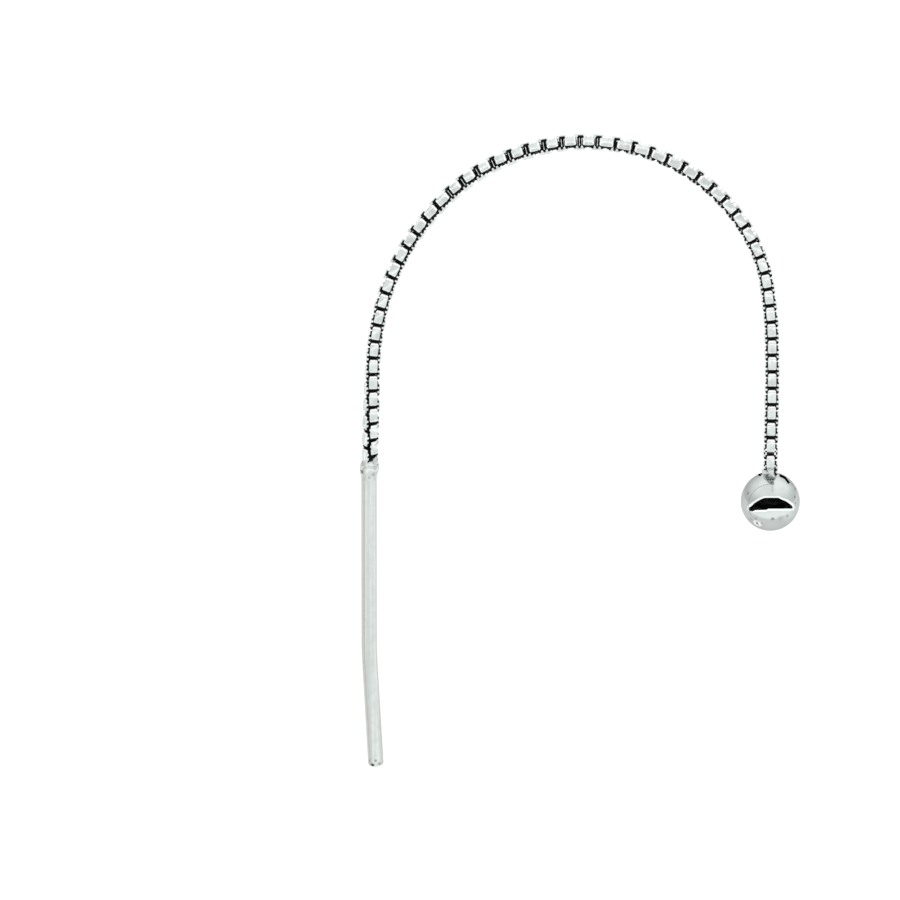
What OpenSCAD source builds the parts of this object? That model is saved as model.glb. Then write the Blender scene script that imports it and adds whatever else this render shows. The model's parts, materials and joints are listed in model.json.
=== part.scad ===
/* [Chain] */
// Width of the square box chain across its flat faces
chain_width = 0.78; // [0.7:0.01:1.2]
// Thickness of the silver strip that each link is bent from
strip_thickness = 0.09; // [0.07:0.01:0.1]
// Nominal step from one link to the next along the chain
link_pitch = 0.45; // [0.43:0.01:0.55]
// Play between the end bars of two interlocked links
end_play = 0.12; // [0.11:0.01:0.14]
// Play between a link's strip and the sides of its neighbour
side_play = 0.12; // [0.11:0.01:0.14]
// Outer corner radius of a link
link_corner = 0.16; // [0.12:0.01:0.18]

/* [Loop] */
// Sideways reach from the crest to the leg that carries the ball
ball_side_reach = 9.3; // [7:0.1:12]
// Sideways reach from the crest to the leg that carries the post
post_side_reach = 10.9; // [8:0.1:14]
// Drop from the crest to the last free link above the ball
ball_side_drop = 17.05; // [14:0.05:24]
// Drop from the crest to the last free link above the post
post_side_drop = 16.75; // [14:0.05:24]

/* [Ball] */
// Diameter of the ball
ball_diameter = 3; // [2.4:0.1:5]
// Diameter of the solder neck between the ball and its link
neck_diameter = 0.58; // [0.5:0.02:0.7]
// Height of the neck from the top of the ball to the bottom of the link
neck_height = 0.38; // [0.3:0.02:0.6]
// Radius of the hollow fillet where the neck meets the ball
neck_fillet = 0.22; // [0.15:0.01:0.28]
// Diameter of the closed vent mark on the ball
vent_diameter = 0.32; // [0.2:0.02:0.5]
// Depth of the ring groove round the vent plug
vent_depth = 0.05; // [0.03:0.01:0.1]
// Width of the ring groove round the vent plug
vent_groove = 0.05; // [0.03:0.01:0.08]
// Heading of the vent mark, in degrees from the front towards the post side
vent_heading = 31; // [0:1:90]
// Angle of the vent mark below the ball's middle, in degrees
vent_below = 30; // [0:1:60]

/* [Post] */
// Diameter of the post, 20 gauge wire
post_diameter = 0.8; // [0.6:0.05:1]
// Length of the post from its solder collar to the tip
post_length = 15.7; // [10:0.1:25]
// Straight stretch from the tip up to the bend
tip_stretch = 5.8; // [3:0.1:8]
// Slight bend of the post, in degrees
post_bend = 3; // [1:0.5:8]
// Radius of the bend along the middle of the wire
bend_radius = 20; // [5:1:40]
// Rounding of the post's tip
tip_rounding = 0.15; // [0.05:0.01:0.25]
// How far the solder collar swells beyond the post at its fullest
collar_swell = 0.08; // [0.04:0.01:0.15]
// Height of the solder collar
collar_height = 1.15; // [0.8:0.05:1.6]
// Rounding of the collar's upper edge
collar_rounding = 0.14; // [0.05:0.01:0.2]

/* [Solder] */
// Depth of solder that stands in the hole of a soldered link
solder_fill = 0.1; // [0.04:0.01:0.14]

/* [Hidden] */
arc_steps = 48;
corner_steps = 24;
overlap = 0.02;

// The route of the chain, from the crest down each leg.
// Each mark holds a share of that side's reach and a share of its drop.
ball_side_marks = [
    [0, 0], [0.31, 0.028], [0.58, 0.104], [0.795, 0.222],
    [0.94, 0.371], [0.993, 0.536], [1.006, 0.704], [1.004, 0.872], [1, 1]
];
post_side_marks = [
    [0, 0], [0.25, 0.023], [0.49, 0.093], [0.685, 0.206],
    [0.835, 0.346], [0.934, 0.503], [0.981, 0.67], [0.993, 0.84], [1, 1]
];
// The twist of the chain as a share of its length and an angle in degrees.
twist_marks = [
    [0, 0], [0.12, 0], [0.21, 5], [0.3, 13], [0.4, 21], [0.5, 31], [0.57, 34],
    [0.65, 33], [0.78, 14], [0.87, 2], [0.93, -13], [1, -40]
];
samples_per_mark = 16;

function ball_side(mark) = [mark[0] * ball_side_reach, -mark[1] * ball_side_drop];
function post_side(mark) = [-mark[0] * post_side_reach, -mark[1] * post_side_drop];

// All marks in order, from the ball's leg over the crest to the post's leg.
ball_leg = [for (i = [len(ball_side_marks) - 1 : -1 : 1]) ball_side(ball_side_marks[i])];
post_leg = [for (mark = post_side_marks) post_side(mark)];
route_marks = concat(ball_leg, post_leg);
last_mark = len(route_marks) - 1;

// A smooth curve through four marks in a row, with share u between the middle two.
function smooth(a, b, c, d, u) = (
    2 * b
    + (c - a) * u
    + (2 * a - 5 * b + 4 * c - d) * u * u
    + (3 * b - 3 * c + d - a) * u * u * u
) / 2;

function mark_at(i) = route_marks[max(0, min(last_mark, i))];

route_curve = [
    for (i = [0 : last_mark - 1])
        for (k = [0 : samples_per_mark - 1])
            smooth(mark_at(i - 1), mark_at(i), mark_at(i + 1), mark_at(i + 2), k / samples_per_mark),
    mark_at(last_mark)
];

// Length along the curve up to each of its samples.
route_run = [
    for (
        i = 0, run = 0;
        i < len(route_curve);
        run = run + (i + 1 < len(route_curve) ? norm(route_curve[i + 1] - route_curve[i]) : 0),
        i = i + 1
    ) run
];
route_length = route_run[len(route_run) - 1];
run_to_x = [for (i = [0 : len(route_curve) - 1]) [route_run[i], route_curve[i][0]]];
run_to_z = [for (i = [0 : len(route_curve) - 1]) [route_run[i], route_curve[i][1]]];

function route_at(run) = [lookup(run, run_to_x), lookup(run, run_to_z)];

// An even number of links fills the route, so both end links face as they should.
link_count = 2 * round(route_length / (2 * link_pitch));
fitted_pitch = route_length / link_count;
link_length = fitted_pitch + 2 * strip_thickness + end_play;
strip_width = chain_width - 2 * strip_thickness - 2 * side_play;
inner_corner = link_corner - strip_thickness;
quarter_turn = 90;

ball_pivot = route_at(0);
post_pivot = route_at(route_length);

// The ball hangs plumb below its pivot.
ball_radius = ball_diameter / 2;
neck_radius = neck_diameter / 2;
link_below_pivot = fitted_pitch / 2 + link_length / 2;
ball_centre_below_pivot = link_below_pivot + neck_height + ball_radius;
neck_top = neck_height + strip_thickness + solder_fill;

// The post hangs with its weight plumb below its pivot, so its bend shifts it sideways.
post_radius = post_diameter / 2;
collar_radius = post_radius + collar_swell;
collar_buried = strip_thickness + solder_fill;
bend_run = bend_radius * post_bend * PI / 180;
bend_thinning = 0.004;
bend_insert = 0.3;
upper_stretch = post_length - tip_stretch - bend_run;
bent_length = tip_stretch + bend_run / 2;
post_shift = bent_length * bent_length * sin(post_bend) / (2 * (post_length + collar_height));

module rounded_rectangle(width, height, radius) {
    square([width - 2 * radius, height], center = true);
    square([width, height - 2 * radius], center = true);
    for (x = [-1, 1], y = [-1, 1])
        translate([x * (width / 2 - radius), y * (height / 2 - radius)])
            circle(radius, $fn = corner_steps);
}

// One link: a strip bent into a rounded square, its hole facing the front.
module link() {
    rotate([90, 0, 0])
        linear_extrude(strip_width, center = true)
            difference() {
                rounded_rectangle(chain_width, link_length, link_corner);
                rounded_rectangle(
                    chain_width - 2 * strip_thickness,
                    link_length - 2 * strip_thickness,
                    inner_corner
                );
            }
}

// A link between two points of the route, turned by its twist.
module link_between(start, finish, turn) {
    step = finish - start;
    middle = (start + finish) / 2;
    translate([middle[0], 0, middle[1]])
        rotate([0, atan2(step[0], step[1]), 0])
            rotate([0, 0, turn])
                link();
}

function twist_at(share) = lookup(share, twist_marks);

// Solder that stands in the lower part of a soldered link's hole.
module solder_in_link() {
    depth = solder_fill + overlap;
    width = chain_width - strip_thickness;
    rotate([90, 0, 0])
        linear_extrude(strip_width, center = true)
            translate([-width / 2, strip_thickness - overlap - link_length / 2])
                square([width, depth]);
}

// The hollow fillet and straight neck that rise from the ball's top.
module solder_neck() {
    foot_radius = neck_radius + neck_fillet;
    foot_depth = ball_radius - sqrt(ball_radius * ball_radius - foot_radius * foot_radius);
    translate([0, 0, ball_radius])
        rotate_extrude($fn = arc_steps) {
            translate([0, -foot_depth - overlap])
                square([neck_radius, neck_top + foot_depth + overlap]);
            difference() {
                translate([0, -foot_depth - overlap])
                    square([foot_radius, neck_fillet + overlap]);
                translate([foot_radius, neck_fillet - foot_depth])
                    circle(neck_fillet, $fn = arc_steps);
            }
        }
}

// A ring groove in the ball round the plug that closes its vent.
module vent_mark() {
    rotate([quarter_turn + vent_below, 0, -vent_heading])
        translate([0, 0, ball_radius - vent_depth])
            difference() {
                cylinder(h = vent_depth + overlap, d = vent_diameter, $fn = arc_steps);
                translate([0, 0, -overlap])
                    cylinder(
                        h = vent_depth + 3 * overlap,
                        d = vent_diameter - 2 * vent_groove,
                        $fn = arc_steps
                    );
            }
}

module ball() {
    color("silver")
        translate([ball_pivot[0], 0, ball_pivot[1]]) {
            translate([0, 0, -fitted_pitch / 2])
                rotate([0, 0, quarter_turn]) {
                    link();
                    solder_in_link();
                }
            translate([0, 0, -ball_centre_below_pivot]) {
                solder_neck();
                difference() {
                    sphere(ball_radius, $fn = arc_steps);
                    vent_mark();
                }
            }
        }
}

module chain() {
    color("silver")
        for (i = [0 : link_count - 1])
            link_between(
                route_at(i * fitted_pitch),
                route_at((i + 1) * fitted_pitch),
                twist_at((i + 0.5) / link_count) + (i % 2) * quarter_turn
            );
}

// The barrel of solder at the top of the post, fullest at its middle.
module solder_collar() {
    half_height = collar_height / 2;
    bulge_radius = (half_height * half_height + collar_swell * collar_swell) / (2 * collar_swell);
    translate([0, 0, half_height])
        rotate_extrude($fn = arc_steps)
            intersection() {
                translate([collar_radius - bulge_radius, 0])
                    circle(bulge_radius, $fn = arc_steps);
                union() {
                    translate([0, -half_height])
                        square([collar_radius, collar_height - collar_rounding]);
                    translate([0, -half_height])
                        square([post_radius - collar_rounding, collar_height]);
                    translate([post_radius - collar_rounding, half_height - collar_rounding])
                        circle(collar_rounding, $fn = arc_steps);
                }
            }
}

// The bend, drawn a hair thinner than the bar and run a little into both straight stretches.
module bent_bar() {
    rotate([quarter_turn, 0, 0])
        rotate([0, 0, 2 * quarter_turn - bend_insert])
            rotate_extrude(angle = post_bend + 2 * bend_insert, $fn = arc_steps)
                translate([bend_radius, 0])
                    circle(post_radius - bend_thinning, $fn = arc_steps);
}

// The straight stretch that ends in the rounded tip, from the bend downwards.
module tip_bar() {
    rotate_extrude($fn = arc_steps) {
        translate([0, tip_rounding - tip_stretch])
            square([post_radius, tip_stretch - tip_rounding]);
        translate([0, -tip_stretch])
            square([post_radius - tip_rounding, tip_stretch]);
        translate([post_radius - tip_rounding, tip_rounding - tip_stretch])
            circle(tip_rounding, $fn = arc_steps);
    }
}

module post() {
    color("silver")
        translate([post_pivot[0], 0, post_pivot[1]]) {
            translate([0, 0, -fitted_pitch / 2])
                rotate([0, 0, -twist_at(1)])
                    link();
            translate([-post_shift, 0, collar_buried - link_below_pivot - collar_height]) {
                solder_collar();
                translate([0, 0, -upper_stretch])
                    cylinder(h = upper_stretch, d = post_diameter, $fn = arc_steps);
                translate([bend_radius, 0, -upper_stretch]) {
                    bent_bar();
                    rotate([0, -post_bend, 0])
                        translate([-bend_radius, 0, 0])
                            tip_bar();
                }
            }
        }
}

ball();
chain();
post();
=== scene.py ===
"""Looks of the threader earring: a fine box chain with a polished ball at one end and a straight post at
the other."""

import json
import math
import random

import bmesh
import bpy
from mathutils import Matrix, Vector, noise


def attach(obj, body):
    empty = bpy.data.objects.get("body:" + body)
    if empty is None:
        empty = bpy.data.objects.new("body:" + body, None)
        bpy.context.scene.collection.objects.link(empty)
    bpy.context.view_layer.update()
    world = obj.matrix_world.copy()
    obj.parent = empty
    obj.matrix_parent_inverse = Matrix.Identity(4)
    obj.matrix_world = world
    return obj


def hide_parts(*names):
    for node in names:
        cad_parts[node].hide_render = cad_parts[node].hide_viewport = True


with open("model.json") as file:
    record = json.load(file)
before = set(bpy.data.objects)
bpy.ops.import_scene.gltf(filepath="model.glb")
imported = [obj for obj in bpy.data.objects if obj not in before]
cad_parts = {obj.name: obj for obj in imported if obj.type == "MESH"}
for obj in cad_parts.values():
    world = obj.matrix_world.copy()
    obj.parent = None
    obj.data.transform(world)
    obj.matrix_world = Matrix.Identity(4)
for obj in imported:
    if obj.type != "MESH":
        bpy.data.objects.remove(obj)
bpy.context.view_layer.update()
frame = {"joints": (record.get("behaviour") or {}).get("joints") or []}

# Shapes are worked out in millimetres and written to their meshes in metres. Points of a turned
# piece that are closer than WELD are merged.
MM = 0.001
WELD = 1e-5

# The photograph's camera looks down at the front by this tilt.
CAMERA_TILT = math.radians(22.5)
TO_CAMERA = Vector((0, -math.cos(CAMERA_TILT), math.sin(CAMERA_TILT)))
PICTURE_UP = Vector((0, math.sin(CAMERA_TILT), math.cos(CAMERA_TILT)))

# The chain's route from the crest to each pivot, as shares of that pivot's place.
BALL_SIDE = (
    (0.31, 0.028), (0.58, 0.104), (0.795, 0.222), (0.94, 0.371),
    (0.993, 0.536), (1.006, 0.704), (1.004, 0.872), (1, 1),
)
POST_SIDE = (
    (0, 0), (0.25, 0.023), (0.49, 0.093), (0.685, 0.206), (0.835, 0.346),
    (0.934, 0.503), (0.981, 0.67), (0.993, 0.84), (1, 1),
)
# Twist of the chain: share of its length from the ball's end, angle in degrees.
TWIST = (
    (0, 0), (0.12, 0), (0.21, 5), (0.3, 13), (0.4, 21), (0.5, 31), (0.57, 34),
    (0.65, 33), (0.78, 14), (0.87, 2), (0.93, -13), (1, -40),
)
NOMINAL_PITCH = 0.45
CURVE_STEPS = 16
QUARTER_TURN = 90

# The links: short strips bent round. A web, a dark sheet of painted shade, lies in the hole of each,
# from web[0] to web[1] along the link.
CHAIN_WIDTH = 0.768
LINK_CORNER = 0.15
STRIP_SOFTNESS = 0.03
FREE_LINK = {
    "length": 0.765, "width": 0.42, "thickness": 0.155, "web": (-0.055, 0.055), "web_depth": 0.36,
}
LONG_LINK = {**FREE_LINK, "length": 0.79}
SHORT_LINK = {**FREE_LINK, "length": 0.635, "thickness": 0.1}
RIDGED_LINK = {**FREE_LINK, "web": (-0.11, 0.11), "ridge": 0.045}
# The links that hold each other at a pivot are thinner, with room to swing.
PIVOT_LINK = {
    "length": 0.755, "width": 0.4, "thickness": 0.12, "web": (-0.06, 0.02), "web_depth": 0.04,
}
END_LINK = {**PIVOT_LINK, "web": (-0.26, 0.03), "web_depth": 0.3}
# Over the crest and the post's shoulder the links are pulled apart, and a bright ridge parts each gap's
# painted shade in two. On the ball's shoulder they are closed up to thin gaps. Both are shares of the
# length.
PULLED_APART = (0.478, 0.665)
CLOSED_UP = (0.24, 0.46)
# Share of the chain's length, and how much painted shade of the arch's bend a link there takes on its
# edges, from 0 on the legs.
ARCH = (
    (0.2, 0), (0.27, 0.9), (0.4, 0.9), (0.46, 0.7), (0.58, 0.7), (0.64, 0.85), (0.78, 0.85),
    (0.86, 0),
)
# Seed of the links' own shades, the shade of a link without one, and how many degrees a link may
# stand askew.
SHADE_SEED = 7
EVEN_TONE = 0.5
WOBBLE = 1
# How each link is bent: segments of its corners and rims, the angle in radians that makes an edge a
# rim, the share of its width that an end bar loses, and the degrees round the bend where it does.
BEND_SEGMENTS, RIM_SEGMENTS, RIM_ANGLE = 4, 2, 1.2
BAR_TAPER, TAPER_TURN = 0.3, (10, 80)
# The web is narrower than the chain by this many thicknesses of strip. Its ridge is deeper by this.
WEB_INSET = 1.8
RIDGE_PROUD = 0.05

# A soldered link reaches this much further below its pivot than one pitch.
LINK_OVERLAP = 0.15

# The ball's surface lies BALL_INSET inside the solid one's.
BALL_RADIUS = 1.498
BALL_INSET = 0.002
BALL_ROWS, BALL_STEPS = 84, 96
# The vent faces this far from the front towards the post's side, and this far below the level.
VENT_HEADING, VENT_BELOW = math.radians(31), math.radians(30)
VENT_WAY = Vector((
    -math.sin(VENT_HEADING) * math.cos(VENT_BELOW),
    -math.cos(VENT_HEADING) * math.cos(VENT_BELOW),
    -math.sin(VENT_BELOW),
))
# The closed vent: radius, and lift over the ball's surface, from the middle of its plug outwards.
VENT_PROFILE = (
    (0, -0.035), (0.02, -0.034), (0.045, -0.022), (0.06, 0), (0.085, 0.003), (0.105, 0),
    (0.12, -0.022), (0.135, -0.03), (0.15, -0.022), (0.165, -0.002), (0.185, 0),
)
# Degrees from the vent's rim to the first row of the ball below it.
VENT_ROW = 1.5

NECK_RADIUS = 0.25
NECK_FILLET = 0.24
NECK_STEPS, FILLET_ROWS = 48, 10
LINK_TO_BALL_TOP = 0.38
# Radius, and height over the ball's top for the root and over the neck's top for the dome.
NECK_ROOT = ((0, -0.3), (0.4, -0.2))
NECK_DOME = ((NECK_RADIUS, -0.03), (0.22, 0.06), (0.17, 0.13), (0.1, 0.17), (0, 0.18))
# The solder's foot lies as a film on the ball between these degrees from level.
NECK_SKIRT = (72, 73)
SOLDER_FILM = 0.001
# Lumps as a share of the radius, how fine they are, and the heights over the ball's top where the
# neck's begin and are full.
NECK_LUMPS, NECK_LUMP_FINENESS = 0.035, 5
NECK_LUMP_RISE = (0.02, 0.2)
SOLDER_LUMPS, SOLDER_LUMP_FINENESS = 0.07, 6
SOLDER_STEPS, SOLDER_ROWS = 32, 20

POST_RADIUS = 0.4
POST_LENGTH = 15.699
POST_ROWS, POST_STEPS = 60, 56
TIP_STRETCH = 5.8
TIP_ROUNDING = 0.15
TIP_ROWS = 8
TIP_FLAT = 0.12
BEND_RADIUS = 20
BEND = math.radians(3)
COLLAR_HEIGHT = 1.15
COLLAR_IN_LINK = 0.19
# Radius and height over the collar's bottom, from the middle of its top down to the bar.
COLLAR_PROFILE = (
    (0, 1.13), (0.14, 1.12), (0.24, 1.09), (0.33, 1.03), (0.4, 0.94), (0.445, 0.83), (0.468, 0.7),
    (0.479, 0.55), (0.474, 0.42), (0.458, 0.3), (0.435, 0.2), (0.415, 0.11), (0.403, 0.04),
)
BAR_TOP = -0.05
# The collar's uneven solder, as shares of its radius: it is shrunk and then swollen by its lumps,
# which set in over the heights LUMP_RISE. Its right shoulder is fuller.
COLLAR_SHRINK, COLLAR_LUMPS, TALLEST_LUMP = 0.035, 0.06, 0.55
COARSE_LUMPS, FINE_LUMPS = 3.2, 7.5
LUMP_SHIFT = Vector((3, 1, 0))
LUMP_RISE = (0.0, 0.25)
FULL_SHOULDER, SHOULDER_RISE, SHOULDER_SIDE = 0.16, (0.3, 0.8), (0.2, 1)


def pivot(joint_name):
    """A joint's place in millimetres."""
    joint = next(j for j in frame["joints"] if j["name"] == joint_name)
    return Vector(joint["pos_m"]) / MM


ball_pivot = pivot("ball_swing")
post_pivot = pivot("post_swing")


# The chain's route

def smooth_between(a, b, c, d, share):
    """The point between b and c on a smooth curve through four marks."""
    return 0.5 * (
        2 * b
        + (c - a) * share
        + (2 * a - 5 * b + 4 * c - d) * share**2
        + (3 * b - 3 * c + d - a) * share**3
    )


def lookup(value, table):
    """The table's value there, on straight lines between its rows."""
    for (x0, y0), (x1, y1) in zip(table, table[1:]):
        if value <= x1:
            return y0 + (y1 - y0) * max(0.0, (value - x0) / (x1 - x0))
    return table[-1][1]


class Route:
    """The line down the middle of the chain, measured from the ball's end."""

    def __init__(self):
        marks = [Vector((x * ball_pivot.x, 0, z * ball_pivot.z)) for x, z in reversed(BALL_SIDE)]
        marks += [Vector((x * post_pivot.x, 0, z * post_pivot.z)) for x, z in POST_SIDE]
        padded = [marks[0], *marks, marks[-1]]
        curve = [
            smooth_between(*padded[i : i + 4], k / CURVE_STEPS)
            for i in range(len(marks) - 1)
            for k in range(CURVE_STEPS)
        ]
        curve.append(marks[-1])
        run = [0.0]
        for here, there in zip(curve, curve[1:]):
            run.append(run[-1] + (there - here).length)
        self.across = [(r, p.x) for r, p in zip(run, curve)]
        self.height = [(r, p.z) for r, p in zip(run, curve)]
        self.length = run[-1]
        self.links = 2 * round(self.length / (2 * NOMINAL_PITCH))
        self.pitch = self.length / self.links

    def at(self, run):
        return Vector((lookup(run, self.across), 0, lookup(run, self.height)))

    def link_place(self, i):
        """Where link i sits: its long way along the route, every second one a quarter turn round."""
        start, finish = self.at(i * self.pitch), self.at((i + 1) * self.pitch)
        step = finish - start
        turn = lookup((i + 0.5) / self.links, TWIST) + i % 2 * QUARTER_TURN
        lean = Matrix.Rotation(math.atan2(step.x, step.z), 4, "Y")
        turned = lean @ Matrix.Rotation(math.radians(turn), 4, "Z")
        return Matrix.Translation((start + finish) / 2) @ turned


def below(point, drop):
    """The point straight below another by a drop."""
    return point - Vector((0, 0, drop))


route = Route()
ball_link_middle = below(ball_pivot, route.pitch / 2)
post_link_middle = below(post_pivot, route.pitch / 2)
soldered_link_drop = route.pitch + LINK_OVERLAP
ball_top = below(ball_pivot, soldered_link_drop + LINK_TO_BALL_TOP + BALL_INSET)
ball_centre = below(ball_top, BALL_RADIUS)


# Mesh helpers

def soft_step(value, low, high):
    share = min(1.0, max(0.0, (value - low) / (high - low)))
    return share * share * (3 - 2 * share)


def new_mesh(bm, name):
    """A mesh from a shape that is finished with."""
    mesh = bpy.data.meshes.new(name)
    bm.to_mesh(mesh)
    bm.free()
    return mesh


def show(name, data):
    """Puts a mesh, camera or light into the scene."""
    shown = bpy.data.objects.new(name, data)
    bpy.context.scene.collection.objects.link(shown)
    return shown


def finish_mesh(bm, name, material, body, node=None):
    """Puts a piece modelled in millimetres into the scene, smooth, and lets it ride on its body."""
    bmesh.ops.recalc_face_normals(bm, faces=bm.faces)
    bmesh.ops.scale(bm, vec=(MM, MM, MM), verts=bm.verts)
    for face in bm.faces:
        face.smooth = True
    piece = show(name, new_mesh(bm, name))
    piece.data.materials.append(material)
    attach(piece, body)
    if node:
        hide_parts(node)
    return piece


def lathe(profile, steps):
    """A closed solid turned about Z from (radius, height) points, the first and last on the axis."""
    bm = bmesh.new()
    points = [bm.verts.new((radius, 0, height)) for radius, height in profile]
    edges = [bm.edges.new(pair) for pair in zip(points, points[1:])]
    bmesh.ops.spin(
        bm, geom=points + edges, cent=(0, 0, 0), axis=(0, 0, 1),
        angle=math.tau, steps=steps, use_merge=True,
    )
    bmesh.ops.remove_doubles(bm, verts=bm.verts, dist=WELD)
    bmesh.ops.recalc_face_normals(bm, faces=bm.faces)
    return bm


def arc(centre_radius, centre_height, radius, first, last, steps):
    """Points on an arc of a lathe profile, between two angles in degrees from the outward way."""
    angles = [math.radians(first + (last - first) * k / steps) for k in range(steps + 1)]
    return [
        (centre_radius + radius * math.cos(a), centre_height + radius * math.sin(a)) for a in angles
    ]


# Links

def strip_place(co, length):
    """How deep a point of a link lies under the strip's outer face, and how far round the bend from
    its long side (0 degrees) to its end bar (90) it is."""
    aside = abs(co.x) - (CHAIN_WIDTH / 2 - LINK_CORNER)
    along = abs(co.z) - (length / 2 - LINK_CORNER)
    if aside > 0 and along > 0:
        return LINK_CORNER - math.hypot(aside, along), math.degrees(math.atan2(along, aside))
    return LINK_CORNER - max(aside, along), 0 if aside > along else QUARTER_TURN


def bend_link(length, width, thickness, web, web_depth, ridge=0):
    """One link in its own frame, its hole facing the front. Its points carry what its finish reads:
    depth under the strip's outer face and way along the link, both in millimetres, turn round its
    bends, from 0 on its long sides to 1 on its end bars, and room for its tone and place in the arch."""
    bm = bmesh.new()
    bmesh.ops.create_cube(bm, size=1)
    bmesh.ops.scale(bm, vec=(CHAIN_WIDTH, width, length), verts=bm.verts)
    open_sides = [f for f in bm.faces if abs(f.normal.y) > 0.5]
    bmesh.ops.delete(bm, geom=open_sides, context="FACES_ONLY")
    corners = [e for e in bm.edges if abs((e.verts[0].co - e.verts[1].co).normalized().y) > 0.5]
    bmesh.ops.bevel(
        bm, geom=corners, offset=LINK_CORNER, segments=BEND_SEGMENTS,
        affect="EDGES", profile=0.5, material=-1,
    )
    bmesh.ops.solidify(bm, geom=bm.faces[:], thickness=thickness)
    bmesh.ops.recalc_face_normals(bm, faces=bm.faces)
    rims = [e for e in bm.edges if e.calc_face_angle() > RIM_ANGLE]
    outer_rims = [e for e in rims if strip_place(e.verts[0].co, length)[0] < thickness / 2]
    for edge in set(rims) - set(outer_rims):
        edge.smooth = False
    bmesh.ops.bevel(
        bm, geom=outer_rims, offset=STRIP_SOFTNESS, segments=RIM_SEGMENTS,
        affect="EDGES", profile=0.5, material=-1,
    )
    names = ("depth", "turn", "along", "tone", "inside")
    marks = {name: bm.verts.layers.float.new(name) for name in names}
    for v in bm.verts:
        depth, turn = strip_place(v.co, length)
        v[marks["depth"]] = depth
        v[marks["turn"]] = turn / QUARTER_TURN
        v[marks["along"]] = v.co.z
        v.co.y *= 1 - BAR_TAPER * soft_step(turn, *TAPER_TURN) * max(0, 1 - depth / thickness)
    # The web is marked deepest, so that it takes the links' painted shade, and the ridge across its
    # middle is marked as the outer face.
    bar_width = CHAIN_WIDTH - WEB_INSET * thickness
    web_middle, web_length = (web[0] + web[1]) / 2, web[1] - web[0]
    bars = [((bar_width, web_depth, web_length), web_middle, 1)]
    if ridge:
        bars.append(((bar_width, web_depth + RIDGE_PROUD, ridge), 0, 0))
    for size, height, depth in bars:
        bar = bmesh.ops.create_cube(bm, size=1)["verts"]
        bmesh.ops.scale(bm, vec=size, verts=bar)
        bmesh.ops.translate(bm, vec=(0, 0, height), verts=bar)
        for v in bar:
            v[marks["depth"]] = depth
    return new_mesh(bm, "link")


free_link = bend_link(**FREE_LINK)
long_link = bend_link(**LONG_LINK)
short_link = bend_link(**SHORT_LINK)
ridged_link = bend_link(**RIDGED_LINK)
pivot_link = bend_link(**PIVOT_LINK)
end_link = bend_link(**END_LINK)


def add_link(bm, link, place, tone=EVEN_TONE, arch=0.0):
    """Adds one link to a piece, with its own slight shade. In the arch the points of a link that is
    seen edge on are marked from -1 on the outside to 1 on the inside."""
    before = len(bm.verts)
    bm.from_mesh(link)
    bm.verts.ensure_lookup_table()
    added = bm.verts[before:]
    layers = bm.verts.layers.float
    for v in added:
        v[layers["tone"]] = tone
        v[layers["inside"]] = -arch * v.co.x / (CHAIN_WIDTH / 2)
    bmesh.ops.transform(bm, matrix=place, verts=added)


def make_chain(material):
    """All free links. Every second one, from the first, is seen edge on. The first is turned over,
    because the web of a pivot's link lies off its middle."""
    dice = random.Random(SHADE_SEED)
    half_turn = Matrix.Rotation(math.pi, 4, "Y")
    bm = bmesh.new()
    for i in range(route.links):
        place = route.link_place(i)
        if i == 0:
            add_link(bm, pivot_link, place @ half_turn)
        elif i == route.links - 1:
            add_link(bm, pivot_link, place)
        else:
            wobble = [math.radians(dice.uniform(-WOBBLE, WOBBLE)) for _ in range(3)]
            for axis, angle in zip("XYZ", wobble):
                place = place @ Matrix.Rotation(angle, 4, axis)
            share = i / route.links
            edge_on = i % 2 == 0
            link = free_link
            if PULLED_APART[0] < share < PULLED_APART[1]:
                link = ridged_link if edge_on else short_link
            elif CLOSED_UP[0] < share < CLOSED_UP[1] and not edge_on:
                link = long_link
            arch = lookup(share, ARCH) if edge_on else 0.0
            add_link(bm, link, place, dice.random(), arch)
    return finish_mesh(bm, "box_chain", material, "chain", "chain")


def make_end_link(name, middle, turn, material, body, slot):
    bm = bmesh.new()
    place = Matrix.Translation(middle) @ Matrix.Rotation(math.radians(turn), 4, "Z")
    add_link(bm, end_link, place)
    return finish_mesh(bm, name, material, body)


# Ball

def ball_normal(across, up):
    """The way that the ball's surface faces at a place in its picture. Both shares are in ball radii,
    from the middle of the picture."""
    out = math.sqrt(max(0.0, 1 - across**2 - up**2))
    return Vector((across, 0, 0)) + PICTURE_UP * up + TO_CAMERA * out


def make_ball(material):
    """The bead, turned about the line through its vent, whose plug and ring groove lie at the pole."""
    profile = [(r, math.sqrt(BALL_RADIUS**2 - r**2) + lift) for r, lift in VENT_PROFILE]
    vent_rim = math.degrees(math.acos(VENT_PROFILE[-1][0] / BALL_RADIUS))
    profile += arc(0, 0, BALL_RADIUS, vent_rim - VENT_ROW, -90, BALL_ROWS)
    profile[-1] = (0, -BALL_RADIUS)
    bm = lathe(profile, BALL_STEPS)
    turn = Vector((0, 0, 1)).rotation_difference(VENT_WAY).to_matrix().to_4x4()
    bmesh.ops.transform(bm, matrix=Matrix.Translation(ball_centre) @ turn, verts=bm.verts)
    return finish_mesh(bm, "polished_ball", material, "ball", "ball")


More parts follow.
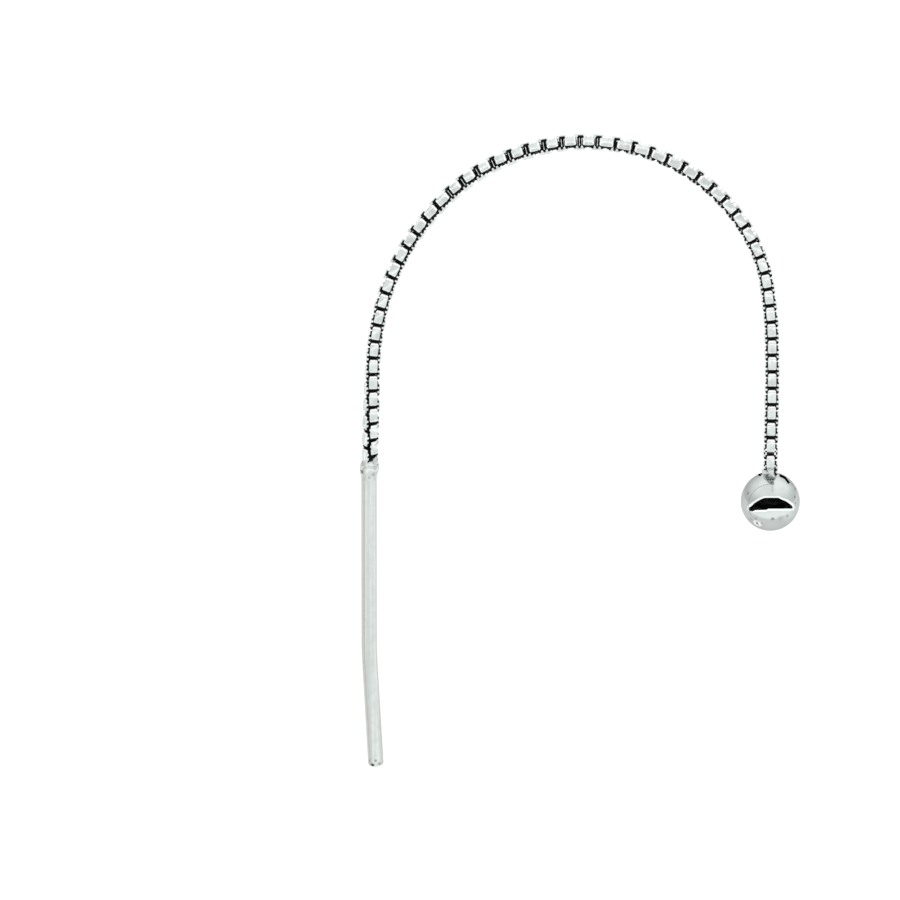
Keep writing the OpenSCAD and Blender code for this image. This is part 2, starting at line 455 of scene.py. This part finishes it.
def make_neck(material):
    """The solder between ball and link: a fillet off the ball, a short neck and a dome in the link."""
    centre_radius = NECK_RADIUS + NECK_FILLET
    centre_height = math.sqrt((BALL_RADIUS + NECK_FILLET) ** 2 - centre_radius**2)
    foot = 180 + math.degrees(math.atan2(centre_height, centre_radius))
    neck_top = BALL_RADIUS + LINK_TO_BALL_TOP
    profile = [(radius, BALL_RADIUS + height) for radius, height in NECK_ROOT]
    profile += arc(0, 0, BALL_RADIUS + SOLDER_FILM, *NECK_SKIRT, 1)
    profile += arc(centre_radius, centre_height, NECK_FILLET, foot, 180, FILLET_ROWS)
    profile += [(radius, neck_top + height) for radius, height in NECK_DOME]
    bm = lathe(profile, NECK_STEPS)
    for v in bm.verts:
        above = soft_step(v.co.z - BALL_RADIUS, *NECK_LUMP_RISE)
        lump = noise.noise(v.co * NECK_LUMP_FINENESS) * NECK_LUMPS * above
        v.co.x *= 1 + lump
        v.co.y *= 1 + lump
    bmesh.ops.translate(bm, vec=ball_centre, verts=bm.verts)
    return finish_mesh(bm, "ball_neck", material, "ball")


def make_solder(name, middle, radii, material, body, slot):
    """A run of solder, left as it flowed."""
    bm = bmesh.new()
    bmesh.ops.create_uvsphere(bm, u_segments=SOLDER_STEPS, v_segments=SOLDER_ROWS, radius=1)
    bmesh.ops.scale(bm, vec=radii, verts=bm.verts)
    for v in bm.verts:
        v.co *= 1 + SOLDER_LUMPS * noise.noise(v.co * SOLDER_LUMP_FINENESS)
    bmesh.ops.translate(bm, vec=middle, verts=bm.verts)
    return finish_mesh(bm, name, material, body)


# Post

upper_stretch = POST_LENGTH - TIP_STRETCH - BEND_RADIUS * BEND
bent_length = TIP_STRETCH + BEND_RADIUS * BEND / 2
# The bent bar hangs with its weight plumb below the pivot, so its straight part stands aside by this.
post_shift = bent_length**2 * math.sin(BEND) / (2 * (POST_LENGTH + COLLAR_HEIGHT))
collar_bottom = below(post_pivot, soldered_link_drop - COLLAR_IN_LINK + COLLAR_HEIGHT)


def bend_down(co):
    """A point of the straight post, moved as the slight bend below its upper stretch carries it."""
    past = -co.z - upper_stretch
    if past <= 0:
        return co
    angle = min(past / BEND_RADIUS, BEND)
    beyond = past - angle * BEND_RADIUS
    reach = BEND_RADIUS - co.x
    return Vector((
        BEND_RADIUS - reach * math.cos(angle) + beyond * math.sin(angle),
        co.y,
        -upper_stretch - reach * math.sin(angle) - beyond * math.cos(angle),
    ))


def make_post(material):
    """Collar, bar and rounded tip as one turned piece, bent slightly near its lower third."""
    bottom = -POST_LENGTH
    bar_end = bottom + TIP_ROUNDING
    bar = [(POST_RADIUS, BAR_TOP + (bar_end - BAR_TOP) * k / POST_ROWS) for k in range(POST_ROWS)]
    tip = arc(POST_RADIUS - TIP_ROUNDING, bar_end, TIP_ROUNDING, 0, -90, TIP_ROWS)
    bm = lathe([*COLLAR_PROFILE, *bar, *tip, (TIP_FLAT, bottom), (0, bottom)], POST_STEPS)
    side = bm.verts.layers.float.new("side")
    for v in bm.verts:
        v[side] = v.co.x / POST_RADIUS
        on_collar = soft_step(v.co.z, *LUMP_RISE)
        lump = noise.noise(v.co * COARSE_LUMPS + LUMP_SHIFT) + 0.5 * noise.noise(v.co * FINE_LUMPS)
        v.co.xy *= 1 - on_collar * (COLLAR_SHRINK - COLLAR_LUMPS * min(lump, TALLEST_LUMP))
        on_shoulder = soft_step(v.co.z, *SHOULDER_RISE) * soft_step(v[side], *SHOULDER_SIDE)
        v.co.x *= 1 + FULL_SHOULDER * on_shoulder
        v.co = bend_down(v.co)
    bmesh.ops.translate(bm, vec=collar_bottom - Vector((post_shift, 0, 0)), verts=bm.verts)
    return finish_mesh(bm, "post_bar", material, "post", "post")


# Finishes

SILVER_GREEN, SILVER_BLUE = 1.06, 1.035
# Full strength of a spot reaches over this share of its radius.
SPOT_CORE = 0.45


class Value:
    """An output in a finish's nodes. Arithmetic on it adds Math nodes."""

    def __init__(self, finish, socket):
        self.finish = finish
        self.socket = socket

    def math(self, operation, *inputs):
        return self.finish.add("ShaderNodeMath", {"operation": operation}, dict(enumerate(inputs)))

    def __add__(self, other):
        return self.math("ADD", self, other)

    def __radd__(self, other):
        return self.math("ADD", other, self)

    def __sub__(self, other):
        return self.math("SUBTRACT", self, other)

    def __rsub__(self, other):
        return self.math("SUBTRACT", other, self)

    def __mul__(self, other):
        return self.math("MULTIPLY", self, other)

    def __rmul__(self, other):
        return self.math("MULTIPLY", other, self)


class Finish:
    """A material or world made of nodes. add() makes any node and hands back one of its outputs."""

    def __init__(self, holder):
        holder.use_nodes = True
        self.tree = holder.node_tree
        self.tree.nodes.clear()

    def add(self, kind, settings, inputs, output=0):
        node = self.tree.nodes.new(kind)
        for name, setting in settings.items():
            setattr(node, name, setting)
        for name, value in inputs.items():
            if isinstance(value, Value):
                self.tree.links.new(value.socket, node.inputs[name])
            else:
                node.inputs[name].default_value = value
        return Value(self, node.outputs[output]) if len(node.outputs) else None

    def place(self):
        return self.add("ShaderNodeTexCoord", {}, {}, "Object")

    def part(self, vector, axis):
        return self.add("ShaderNodeSeparateXYZ", {}, {"Vector": vector}, axis)

    def between(self, operation, first, second, output=0):
        """A Vector Math node on two vectors."""
        return self.add("ShaderNodeVectorMath", {"operation": operation}, {0: first, 1: second}, output)

    def stretched(self, scale):
        """Object coordinates times a scale for each axis."""
        return self.add("ShaderNodeMapping", {}, {"Vector": self.place(), "Scale": scale})

    def cloud(self, vector, scale, detail=2.0):
        inputs = {"Vector": vector, "Scale": scale, "Detail": detail}
        return self.add("ShaderNodeTexNoise", {}, inputs)

    def step(self, value, low, high, first=0.0, last=1.0):
        """A soft step from first to last while value goes from low to high."""
        limits = {"Value": value, "From Min": low, "From Max": high, "To Min": first, "To Max": last}
        return self.add("ShaderNodeMapRange", {"interpolation_type": "SMOOTHSTEP"}, limits)

    def step_down(self, value, low, high):
        return self.step(value, low, high, 1.0, 0.0)

    def near(self, point, radius):
        """1 at a point given in millimetres, falling to 0 at the radius."""
        away = self.between("DISTANCE", self.place(), tuple(c * MM for c in point), "Value")
        return self.step_down(away, SPOT_CORE * radius * MM, radius * MM)

    def blend(self, share, first, second):
        """A colour from first to second by share."""
        inputs = {"Factor": share, "A": first, "B": second}
        return self.add("ShaderNodeMix", {"data_type": "RGBA"}, inputs, "Result")

    def mark(self, name):
        return self.add("ShaderNodeAttribute", {"attribute_name": name}, {}, "Fac")

    def bump(self, height, strength, distance):
        """A Bump node, its distance in millimetres."""
        inputs = {"Height": height, "Strength": strength, "Distance": distance * MM}
        return self.add("ShaderNodeBump", {}, inputs, "Normal")

    def surface(self, inputs):
        shader = self.add("ShaderNodeBsdfPrincipled", {}, inputs)
        self.add("ShaderNodeOutputMaterial", {}, {"Surface": shader})


def grey(value, green=1.0, blue=1.0):
    return (value, value * green, value * blue, 1.0)


def silver(value):
    return grey(value, SILVER_GREEN, SILVER_BLUE)


def new_finish(name):
    material = bpy.data.materials.new(name)
    return material, Finish(material)


# Small dark spots on the ball: shares across and up its picture, radius, and how dark. The last
# two rows are a painted dark reflection of the neck below the solder.
BALL_MARKS = (
    (0.07, -0.59, 0.12, 0.65), (0.84, 0.42, 0.11, 0.5), (0.82, 0.15, 0.1, 0.5),
    (0.84, -0.07, 0.1, 0.45), (-0.76, 0.27, 0.12, 0.45), (-0.29, -0.74, 0.08, 0.45),
    (-0.45, -0.9, 0.1, 0.4), (-0.66, -0.6, 0.09, 0.4), (0.57, -0.5, 0.11, 0.5),
    (0.34, -0.56, 0.2, 0.2), (-0.5, -0.58, 0.12, 0.3),
    (-0.04, 0.74, 0.3, 0.3), (0.02, 0.68, 0.22, 0.4), (0.05, 0.61, 0.15, 0.8),
    (0.06, 0.5, 0.1, 0.2), (0.06, 0.42, 0.1, 0.2), (0.06, 0.34, 0.09, 0.18),
)
# Painted highlight: a brighter belt in the ball's lower half, in its picture. Where its lower and upper
# edges fade, how far the lower one is bent and ruffled, and the squares of where it fades at its sides,
# in millimetres.
BELT_LOW, BELT_HIGH = (-0.68 * MM, -0.56 * MM), (-0.3 * MM, 0.0)
BELT_BEND, BELT_RUFFLE = 0.28 / MM, 0.4 * MM
BELT_SIDES = (0.9 * MM**2, 1.35 * MM**2)
# Painted shade at the bottom of the ball: the heights in its picture over which it fades in.
BALL_FOOT = (-1.0 * MM, -0.7 * MM)
# Radii of the painted shade on the vent's plug, of the painted highlight ring round it and of that
# ring's inside.
PLUG_SHADE, RING_OUTSIDE, RING_INSIDE = 0.09, 0.3, 0.11
# Pits and stains: place from the pivot, radius and how dark. The solder's last row is painted shade
# on the front of the neck's foot.
SOLDER_PITS_AND_SHADE = (
    ((0.21, -0.14, -0.73), 0.09, 0.85),
    ((-0.42, 0.1, -1.01), 0.1, 0.85),
    ((-0.06, -0.45, -1.03), 0.32, 0.6),
)
POST_PITS = (
    ((-0.44, -0.29, -1.05), 0.15, 0.75),
    ((0.16, -0.42, -1.16), 0.12, 0.35),
    ((-0.04, -0.45, -1.31), 0.12, 0.3),
    ((0.11, -0.35, -17.11), 0.12, 0.95),
    ((0.26, -0.4, -16.86), 0.1, 0.5),
    ((0.44, -0.36, -17.04), 0.1, 0.5),
    ((-0.04, -0.26, -16.92), 0.08, 0.4),
)
# Where the painted light beside a gap starts and ends, along a link from its middle, and the painted
# shade of the hook at a gap's end, both in millimetres. Inside and outside of the arch are shares of
# half the chain's width.
GAP_LIGHT_START, GAP_LIGHT_END = (0.045, 0.085), (0.15, 0.21)
HOOK_START, HOOK_END = (-0.25, -0.18), (0.06, 0.12)
ARCH_INSIDE, ARCH_OUTSIDE = (0.45, 0.95), (-0.5, -0.3)
# How deep under the outer face a link's painted shade sets in, how much deeper beside a gap and on the
# outside of the arch, how much less deep on its inside, and the share of the outside's painted light
# that a hook takes away.
RIM_DEPTH = (0.03, 0.055)
GAP_LIGHT, OUTSIDE_LIGHT, INSIDE_SHADE, HOOK_SHADE = 0.11, 0.15, 0.02, 0.85
# How far round a bend its painted highlight grows, and where its end bar's painted shade sets in.
BEND_HIGHLIGHT, BAR_SHADE = (0.05, 0.3), (0.55, 0.8)
# The post's painted dark reflections down its left and right sides, as shares of its radius, and the
# heights over which the right one fades.
LEFT_REFLECTION_START, LEFT_REFLECTION_END = (-0.95, -0.8), (-0.6, -0.2)
RIGHT_REFLECTION = (0.45, 0.7)
RIGHT_REFLECTION_FADE = (-33 * MM, -28 * MM)


def ball_silver():
    """Mirror polish with the faint clouds of hand buffing and fine hairlines."""
    material, f = new_finish("mirror_polished_silver")
    clouds = f.cloud(f.place(), 900.0, 3.0)
    hairs = f.cloud(f.stretched((900.0, 900.0, 6000.0)), 1.0, 2.0)
    broad = f.cloud(f.place(), 450.0, 1.0)
    from_middle = f.between("SUBTRACT", f.place(), tuple(c * MM for c in ball_centre))
    up = f.between("DOT_PRODUCT", from_middle, tuple(PICTURE_UP), "Value")
    # Painted shade at the bottom of the ball's picture.
    foot = f.step_down(up, *BALL_FOOT)
    across = f.part(from_middle, "X")
    squared = across * across
    # Painted highlight: a brighter belt low in the ball's picture.
    highlight_belt = f.step(up + BELT_RUFFLE * broad - BELT_BEND * squared, *BELT_LOW)
    highlight_belt = highlight_belt * f.step_down(up, *BELT_HIGH) * f.step_down(squared, *BELT_SIDES)
    colour = f.blend(f.step(clouds, 0.36, 0.66), silver(0.55), silver(0.66))
    colour = f.blend(f.step(broad, 0.4, 0.6) * 0.45, colour, grey(0.4))
    colour = f.blend(highlight_belt * 0.7, f.blend(foot * 0.3, colour, grey(0.38)), silver(0.73))
    vent = [c * BALL_RADIUS + m for c, m in zip(VENT_WAY, ball_centre)]
    # Painted highlight in a ring round the vent.
    ring = f.near(vent, RING_OUTSIDE) - f.near(vent, RING_INSIDE)
    colour = f.blend(ring * 0.85, colour, grey(0.95))
    # Dark spots, the last of them a painted dark reflection of the neck.
    for mark_across, mark_up, radius, dark in BALL_MARKS:
        mark = ball_centre + ball_normal(mark_across, mark_up) * BALL_RADIUS
        colour = f.blend(f.near(mark, radius) * dark, colour, grey(0.12))
    f.surface({
        # Painted shade on the vent's plug.
        "Base Color": f.blend(f.near(vent, PLUG_SHADE) * 0.8, colour, grey(0.1)),
        "Metallic": 1.0,
        "Specular Tint": grey(0.7),
        "Roughness": f.step(hairs, 0.3, 0.8, 0.03, 0.09),
        "Normal": f.bump(clouds, 0.2, 0.02),
    })
    return material


def link_silver():
    """Bright strip with a painted highlight on its bends, and painted shade where it turns into the
    hollows between the links.
    """
    material, f = new_finish("box_link_silver")
    depth, turn, tone = f.mark("depth"), f.mark("turn"), f.mark("tone")
    along, inside = f.mark("along"), f.mark("inside")
    from_gap = along.math("ABSOLUTE", along)
    clouds = f.cloud(f.place(), 3500.0, 3.0)
    face = f.blend(f.step(clouds, 0.35, 0.65), silver(0.54), silver(0.66))
    face = f.blend(tone * 0.3, face, silver(0.74))
    # Painted highlight on the bends.
    face = f.blend(f.step(turn, *BEND_HIGHLIGHT, 0.0, 0.8), face, grey(0.93))
    # Painted shade covers the strip's edges but leaves painted light near the outside, and a little more
    # of it beside each gap. In the arch the inner edge takes painted shade all along and the outer one
    # only in a hook at each gap.
    beside_gap = f.step(from_gap, *GAP_LIGHT_START) * f.step_down(from_gap, *GAP_LIGHT_END)
    inner = f.step(inside, *ARCH_INSIDE)
    outer = f.step_down(inside, *ARCH_OUTSIDE)
    hook = f.step(along, *HOOK_START) * f.step_down(along, *HOOK_END)
    lit_beside = GAP_LIGHT * beside_gap * (1.0 - inner - outer)
    lit = lit_beside + OUTSIDE_LIGHT * outer * (1.0 - HOOK_SHADE * hook)
    edge = f.step(depth - lit + INSIDE_SHADE * inner, *RIM_DEPTH)
    # Painted shade on the strip's edges and, away from the arch's outside, on its end bars.
    hollow_shade = edge.math("MAXIMUM", edge, f.step(turn, *BAR_SHADE) * (1.0 - outer))
    f.surface({
        "Base Color": f.blend(hollow_shade, face, grey(0.006)),
        "Metallic": 1.0 - 0.2 * hollow_shade,
        "Roughness": f.step(hollow_shade + 0.3 * clouds, 0.1, 1.0, 0.2, 0.6),
        "Normal": f.bump(clouds, 0.2, 0.01),
    })
    return material


def solder_silver():
    """Solder left as it flowed: greyer, softer and a little pitted."""
    material, f = new_finish("flowed_solder")
    clouds = f.cloud(f.place(), 4000.0, 3.0)
    pits = f.step(f.cloud(f.place(), 9000.0, 1.0), 0.62, 0.74)
    colour = f.blend(f.step(clouds, 0.35, 0.65), grey(0.5), silver(0.66))
    colour = f.blend(pits * 0.4, colour, grey(0.1))
    # Pits, and painted shade on the front of the neck's foot.
    for offset, radius, dark in SOLDER_PITS_AND_SHADE:
        pit = ball_pivot + Vector(offset)
        colour = f.blend(f.near(pit, radius) * dark, colour, grey(0.03))
    f.surface({
        "Base Color": colour,
        "Metallic": 1.0,
        "Roughness": f.step(clouds, 0.3, 0.7, 0.22, 0.4),
        "Normal": f.bump(clouds - pits * 0.5, 0.3, 0.02),
    })
    return material


def post_silver():
    """Drawn wire: long soft streaks from the die, solder at the collar and small nicks at the tip."""
    material, f = new_finish("drawn_wire_silver")
    streaks = f.cloud(f.stretched((3600.0, 3600.0, 60.0)), 1.0, 3.0)
    fine = f.cloud(f.stretched((12000.0, 12000.0, 150.0)), 1.0, 2.0)
    clouds = f.cloud(f.place(), 2500.0, 3.0)
    side = f.mark("side")
    height = f.part(f.place(), "Z")
    shade = f.step(0.75 * streaks + 0.25 * fine, 0.36, 0.62)
    colour = f.blend(shade, silver(0.55), silver(0.66))
    colour = f.blend(f.step(clouds, 0.42, 0.62) * 0.35, colour, silver(0.5))
    # Painted dark reflections down the post's left and right sides.
    left_reflection = f.step(side, *LEFT_REFLECTION_START) * f.step_down(side, *LEFT_REFLECTION_END)
    right_reflection = f.step(side, *RIGHT_REFLECTION) * f.step(height, *RIGHT_REFLECTION_FADE, 0.75, 0.35)
    colour = f.blend(left_reflection * 0.75 + right_reflection, colour, grey(0.42, 0.98, 0.94))
    for offset, radius, dark in POST_PITS:
        pit = post_pivot + Vector(offset)
        colour = f.blend(f.near(pit, radius) * dark, colour, grey(0.03))
    f.surface({
        "Base Color": colour,
        "Metallic": 1.0,
        "Roughness": f.step(streaks, 0.3, 0.7, 0.16, 0.26),
        "Normal": f.bump(fine, 0.15, 0.01),
    })
    return material


# Studio, in metres

CAMERA_DISTANCE = 1.2
FRAME_WIDTH = 0.0454
SENSOR_WIDTH = 36
AIM = Vector((-0.00687, 0, -0.016725))

ROOM_COLOUR = (0.985, 1.0, 0.995, 1.0)
# The room's glow near the horizon and overhead, and the heights that it changes between.
ROOM_GLOW = (0.85, 1.2)
GLOW_HEIGHTS = (0.1, 0.8)
LAMP_SIZE = 0.5
# Name, place and power.
LAMPS = (
    ("front_lamp", (0.1, -0.4, 0.45), 0.25),
    ("back_lamp", (0.05, 0.45, 0.45), 0.35),
)
FLOOR_HALF_WIDTH = 2
FLOOR_HEIGHT = -0.2


def set_camera():
    camera = show("camera", bpy.data.cameras.new("camera"))
    camera.data.sensor_width = SENSOR_WIDTH
    camera.data.lens = SENSOR_WIDTH * CAMERA_DISTANCE / FRAME_WIDTH
    camera.data.clip_start, camera.data.clip_end = 0.01, 10
    camera.location = AIM + TO_CAMERA * CAMERA_DISTANCE
    camera.rotation_euler = (math.pi / 2 - CAMERA_TILT, 0, 0)
    bpy.context.scene.camera = camera


def hang_lamp(name, place, power):
    """A large soft lamp that points straight down and lights the board, unseen in the polish."""
    lamp = show(name, bpy.data.lights.new(name, "AREA"))
    lamp.data.size = LAMP_SIZE
    lamp.data.energy = power
    lamp.location = place
    lamp.visible_glossy = False


def light_studio():
    """An even white room, brighter overhead, with soft lamps over the board."""
    world = bpy.data.worlds.new("studio")
    bpy.context.scene.world = world
    f = Finish(world)
    way = f.add("ShaderNodeTexCoord", {}, {}, "Generated")
    glow = f.step(f.part(way, "Z"), *GLOW_HEIGHTS, *ROOM_GLOW)
    light = f.add("ShaderNodeBackground", {}, {"Color": ROOM_COLOUR, "Strength": glow})
    f.add("ShaderNodeOutputWorld", {}, {"Surface": light})
    for name, place, power in LAMPS:
        hang_lamp(name, place, power)
    bpy.context.scene.view_settings.view_transform = "Standard"


def lay_floor():
    bm = bmesh.new()
    bmesh.ops.create_grid(bm, x_segments=1, y_segments=1, size=FLOOR_HALF_WIDTH)
    bmesh.ops.translate(bm, vec=(0, 0, FLOOR_HEIGHT), verts=bm.verts)
    floor = show("floor", new_mesh(bm, "floor"))
    material, f = new_finish("pale_board")
    grain = f.cloud(f.place(), 900.0, 2.0)
    f.surface({"Base Color": f.blend(grain, grey(0.94), grey(0.96)), "Roughness": 0.9})
    floor.data.materials.append(material)


# Cards for the ball, in millimetres

CARD_DISTANCE = 400
CARD_GLOW = 1.0
# The bright card hangs behind the dark one and shows this far round it, in ball radii.
BRIGHT_CARD_DISTANCE = CARD_DISTANCE + 5
BRIGHT_MARGIN = 0.055
BRIGHT_GLOW = 1.7
BRIGHT_CELLS, DARK_CELLS, STAND_CELLS = (48, 4), (60, 8), (12, 1)
# The crescent's upper and lower edges in the ball's picture.
CRESCENT_TOP = (
    (-0.72, -0.215), (-0.64, -0.16), (-0.55, -0.07), (-0.436, 0.005), (-0.33, 0.065), (-0.2, 0.12),
    (0.27, 0.12), (0.36, 0.065), (0.53, 0.0), (0.66, -0.09), (0.73, -0.15), (0.75, -0.2),
)
CRESCENT_BOTTOM = (
    (-0.72, -0.34), (-0.57, -0.335), (-0.5, -0.3), (-0.13, -0.29), (-0.08, -0.25), (0.75, -0.245),
)
# Dark stands by the ball: where each starts and ends in the ball's picture, and its width there.
STANDS = (
    ((0.14, 0.9), (0.36, 0.87), 0.08),
    ((0.34, 0.87), (0.53, 0.77), 0.09),
    ((0.51, 0.78), (0.64, 0.6), 0.08),
    ((-0.38, 0.9), (-0.2, 0.935), 0.1),
)


def seen_on_ball(across, up, distance):
    """Where a card must hang, at that distance from the ball, for the photograph's camera to see it
    there in the ball's picture."""
    normal = ball_normal(across, up)
    way = 2 * normal.dot(TO_CAMERA) * normal - TO_CAMERA
    return ball_centre + way * distance


def hang_card(name, cells, place, glow):
    """A far card, seen only in reflections. place finds its points from shares of -1 to 1 across and
    up it."""
    bm = bmesh.new()
    bmesh.ops.create_grid(bm, x_segments=cells[0], y_segments=cells[1], size=1)
    for v in bm.verts:
        v.co = place(v.co.x, v.co.y)
    bmesh.ops.scale(bm, vec=(MM, MM, MM), verts=bm.verts)
    card = show(name, new_mesh(bm, name))
    material, f = new_finish(name)
    f.surface({
        "Base Color": grey(0.0),
        "Specular IOR Level": 0.0,
        "Emission Color": grey(1.0),
        "Emission Strength": glow,
    })
    card.data.materials.append(material)
    card.visible_camera = False
    card.visible_diffuse = False
    card.visible_shadow = False
    return card


def crescent(margin, distance):
    """The card whose reflection is the long black shape on the front of the ball."""
    left, right = CRESCENT_TOP[0][0], CRESCENT_TOP[-1][0]

    def place(x, y):
        across = (left + right) / 2 + (right - left) / 2 * x
        top = lookup(across, CRESCENT_TOP) + margin
        bottom = lookup(across, CRESCENT_BOTTOM) - margin
        return seen_on_ball(across + margin * x, bottom + (top - bottom) * (y + 1) / 2, distance)
    return place


def stand(start, finish, width):
    """A thin dark stand in the studio, straight between two places in the ball's picture."""
    start, along = Vector(start), Vector(finish) - Vector(start)
    aside = along.orthogonal().normalized() * width / 2

    def place(x, y):
        return seen_on_ball(*(start + along * (x + 1) / 2 + aside * y), CARD_DISTANCE)
    return place


def hide_from_ball(card, ball):
    """The ball sees the card black. For all the rest it glows as bright as the room behind it."""
    listed = bpy.data.collections.new(card.name + "_light")
    card.light_linking.receiver_collection = listed
    listed.objects.link(ball)
    listed.collection_objects[0].light_linking.link_state = "EXCLUDE"


# Assembly

# Runs of solder: name, place from the bottom of the ball's end link, and radii.
BALL_SOLDER = (
    ("ball_solder_lip", (0, 0, 0), (0.16, 0.405, 0.1)),
    ("ball_solder_run", (-0.25, -0.06, -0.24), (0.2, 0.3, 0.2)),
)
# Place from the post's pivot, and radii.
POST_SOLDER = (0.25, -0.12, -0.51), (0.17, 0.22, 0.22)

set_camera()
light_studio()
lay_floor()

strip_finish = link_silver()
solder_finish = solder_silver()
make_chain(strip_finish)

ball_end = ("ball", "ball_silver")
make_end_link("ball_end_link", ball_link_middle, QUARTER_TURN, strip_finish, *ball_end)
ball = make_ball(ball_silver())
sunk_middle = below(ball_link_middle, route.pitch)
make_end_link("ball_solder_link", sunk_middle, 0, strip_finish, *ball_end)
make_neck(solder_finish)
link_bottom = below(ball_link_middle, PIVOT_LINK["length"] / 2)
for name, offset, radii in BALL_SOLDER:
    make_solder(name, link_bottom + Vector(offset), radii, solder_finish, *ball_end)

post_end = ("post", "post_silver")
make_end_link("post_end_link", post_link_middle, -TWIST[-1][1], strip_finish, *post_end)
make_post(post_silver())
offset, radii = POST_SOLDER
make_solder("post_solder_run", post_pivot + Vector(offset), radii, solder_finish, *post_end)

rim = crescent(BRIGHT_MARGIN, BRIGHT_CARD_DISTANCE)
hang_card("bright_card", BRIGHT_CELLS, rim, BRIGHT_GLOW)
dark_cards = [hang_card("dark_card", DARK_CELLS, crescent(0, CARD_DISTANCE), CARD_GLOW)]
for k, (start, finish, width) in enumerate(STANDS):
    bar = stand(start, finish, width)
    dark_cards.append(hang_card(f"stand_{k + 1}", STAND_CELLS, bar, CARD_GLOW))
for card in dark_cards:
    hide_from_ball(card, ball)
